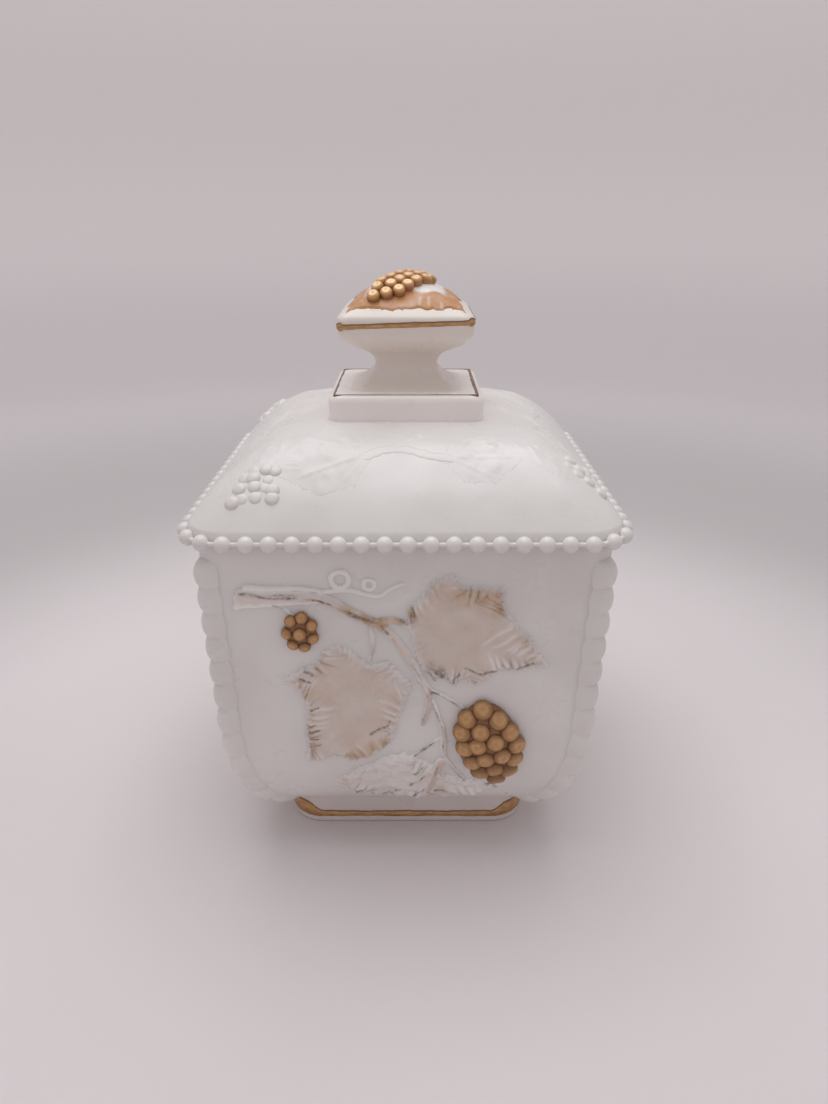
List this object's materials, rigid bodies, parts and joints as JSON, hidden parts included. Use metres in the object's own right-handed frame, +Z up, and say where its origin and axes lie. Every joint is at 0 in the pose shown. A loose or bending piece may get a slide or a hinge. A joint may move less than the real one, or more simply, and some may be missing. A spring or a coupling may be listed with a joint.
{
  "type": "covered vanity jar",
  "caption": "Square covered cream jar of opaque white pressed glass with gilded vine and berry relief, beaded edges, low square foot and lift-off domed lid with a square knob.",
  "frame": {"origin": "centre of the foot's standing face, on the surface that the jar stands on", "axes": "+Z up, -Y out of the front panel, +X to the right seen from the front"},
  "size_m": [0.102, 0.102, 0.1414],
  "materials": {
    "opal_glass": "fire-polished opaque white pressed glass, glossy with soft mould ripples",
    "gilded_relief": "opaque glass relief under fired antique gold, darker in the creases",
    "gold_line": "hand-painted line of fired gold film, slightly worn",
    "tan_wash": "opaque white glass leaf with a thin tan-gold wash over its edges",
    "vine_enamel": "opaque white glass vine with rubbed grey-brown enamel in its bark"
  },
  "bodies": {
    "jar": {"jar_bowl": "opal_glass", "jar_foot": "opal_glass", "foot_gold_band": "gold_line", "corner_beads": "opal_glass", "vine_branches": "vine_enamel", "vine_tendrils": "opal_glass", "upper_leaves": "tan_wash", "side_leaves": "tan_wash", "lower_leaves": "tan_wash", "small_berries": "gilded_relief", "large_berries": "gilded_relief"},
    "lid": {"lid_dome": "opal_glass", "lid_seat_ring": "opal_glass", "lid_rim_beads": "opal_glass", "lid_leaves": "opal_glass", "lid_berries": "opal_glass", "finial_plinth": "opal_glass", "plinth_gold_line": "gold_line", "finial_knob": "opal_glass", "knob_gold_band": "gold_line", "knob_leaf": "tan_wash", "knob_berry": "gilded_relief"}
  },
  "joints": [
    {"name": "lid_lift", "type": "slide", "parent": "jar", "child": "lid", "axis": [0, 0, 1], "range_m": [0, 0.08]}
  ]
}
